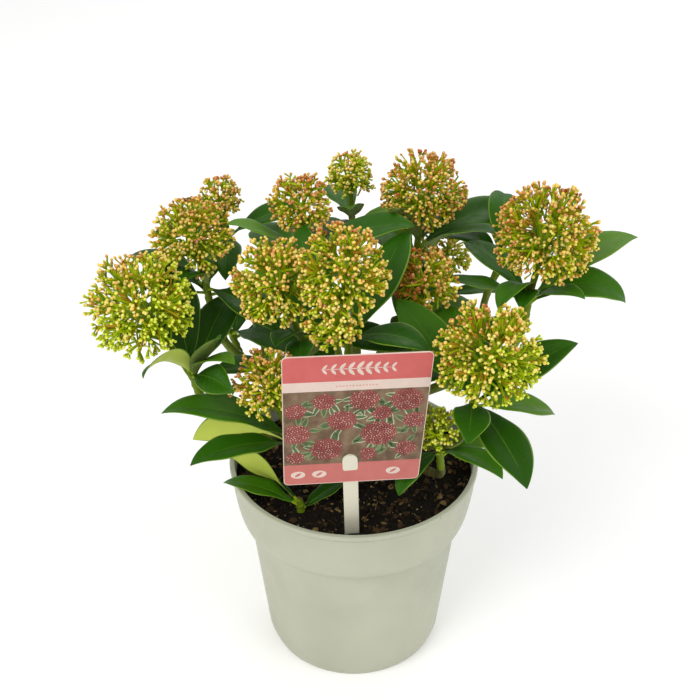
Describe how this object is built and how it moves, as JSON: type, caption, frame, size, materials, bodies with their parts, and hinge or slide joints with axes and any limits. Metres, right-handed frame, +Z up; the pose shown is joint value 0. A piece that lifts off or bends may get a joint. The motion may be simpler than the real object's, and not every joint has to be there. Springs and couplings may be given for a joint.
{
  "type": "potted flowering shrub",
  "caption": "Young skimmia shrub in bud, with oval leaves and loose round flower heads, in a pale plastic pot with a plain plant label.",
  "frame": {"origin": "centre of the pot's flat underside", "axes": "+Z straight up through the pot, -Y towards the side that the label faces"},
  "size_m": [0.2696, 0.2314, 0.2672],
  "materials": {
    "pot": "matte",
    "soil": "matte",
    "card": "satin",
    "white_plastic": "satin",
    "bark": "matte",
    "foliage": "satin"
  },
  "bodies": {
    "root": {"pot": "pot", "soil": "soil", "label_card": "card", "label_stick": "white_plastic", "main_stem": "bark", "bough_middle": "bark", "bough_fore": "bark", "bough_west": "bark", "bough_northwest": "bark", "bough_north": "bark", "bough_east": "bark", "bough_southeast": "bark", "bough_southwest": "bark", "bough_far_northwest": "bark", "bough_mid_west": "bark", "bough_mid_north": "bark", "bough_northeast": "bark", "bough_mid_east": "bark", "bough_low_south": "bark", "bough_back_west": "bark", "bough_back_east": "bark", "bough_low_west": "bark", "bough_low_east": "bark", "bough_upper_east": "bark", "shoot_middle": "foliage", "shoot_fore": "foliage", "shoot_west": "foliage", "shoot_northwest": "foliage", "shoot_north": "foliage", "shoot_east": "foliage", "shoot_southeast": "foliage", "shoot_southwest": "foliage", "shoot_far_northwest": "foliage", "shoot_mid_west": "foliage", "shoot_mid_north": "foliage", "shoot_northeast": "foliage", "shoot_mid_east": "foliage", "shoot_low_south": "foliage", "shoot_back_west": "foliage", "shoot_back_east": "foliage", "shoot_low_west": "foliage", "shoot_low_east": "foliage", "shoot_upper_east": "foliage", "shoot_basal": "foliage"}
  },
  "joints": []
}
